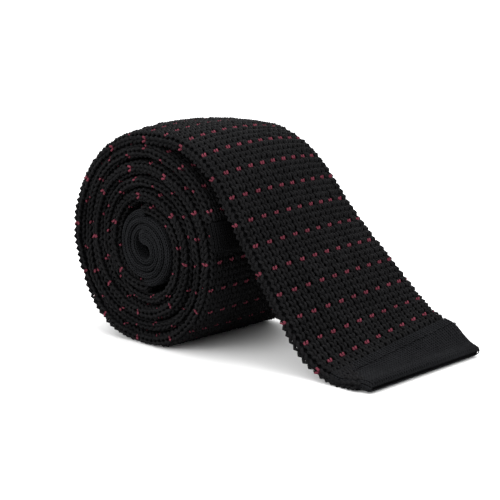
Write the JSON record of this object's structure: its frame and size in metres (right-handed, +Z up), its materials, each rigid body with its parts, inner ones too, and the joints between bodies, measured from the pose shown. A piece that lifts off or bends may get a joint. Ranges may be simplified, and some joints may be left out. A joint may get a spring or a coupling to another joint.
{
  "type": "rolled knit necktie",
  "caption": "Knitted square-end necktie, folded at the neck and rolled up, standing on its rim with the wide blade's free end running down to the surface.",
  "frame": {"origin": "on the surface it stands on, at the middle of its outline seen from above", "axes": "+X the way the free end of the wide blade runs, +Y along the roll's axis, +Z up"},
  "size_m": [0.126, 0.055, 0.0713],
  "materials": {
    "coarse_knit": "coarse black knit with red pin-dot stitches",
    "fine_knit": "fine plain black knit",
    "black_thread": "black sewing thread, slight sheen",
    "black_tape": "woven black tape"
  },
  "bodies": {
    "roll": {"blade_crown": "coarse_knit", "blade_turn_1_left": "coarse_knit", "blade_turn_1_right": "coarse_knit", "blade_turn_2_left": "coarse_knit", "blade_turn_2_right": "coarse_knit", "blade_turn_3_left": "coarse_knit", "tail_crown": "coarse_knit", "tail_turn_1_left": "coarse_knit", "tail_turn_1_right": "coarse_knit", "tail_turn_2_left": "coarse_knit", "tail_turn_2_right": "coarse_knit", "tail_hem_band": "fine_knit", "tail_hem_facing": "fine_knit", "tail_hem_stitching": "black_thread", "tail_corner_tacks": "black_thread", "blade_neck_seam": "black_thread", "tail_neck_seam": "black_thread", "neck_blade_side": "fine_knit", "neck_tail_side": "fine_knit", "neck_fold": "fine_knit", "stay_tape": "black_tape", "stay_tape_tacks": "black_thread", "keeper_loop": "black_tape", "keeper_tacks": "black_thread"},
    "free_blade": {"blade_ramp": "coarse_knit", "blade_bend": "coarse_knit"},
    "square_end": {"blade_foot": "coarse_knit", "wide_hem_band": "fine_knit", "wide_hem_facing": "fine_knit", "wide_hem_stitching": "black_thread", "wide_corner_tacks": "black_thread"}
  },
  "joints": [
    {"name": "blade_lift", "type": "hinge", "parent": "roll", "child": "free_blade", "pos_m": [0.01015, 0, 0.05655], "axis": [0, -1, 0], "range_deg": [0, 40]},
    {"name": "end_lift", "type": "hinge", "parent": "free_blade", "child": "square_end", "pos_m": [0.04708, 0, 0.00836], "axis": [0, -1, 0], "range_deg": [0, 45]}
  ]
}
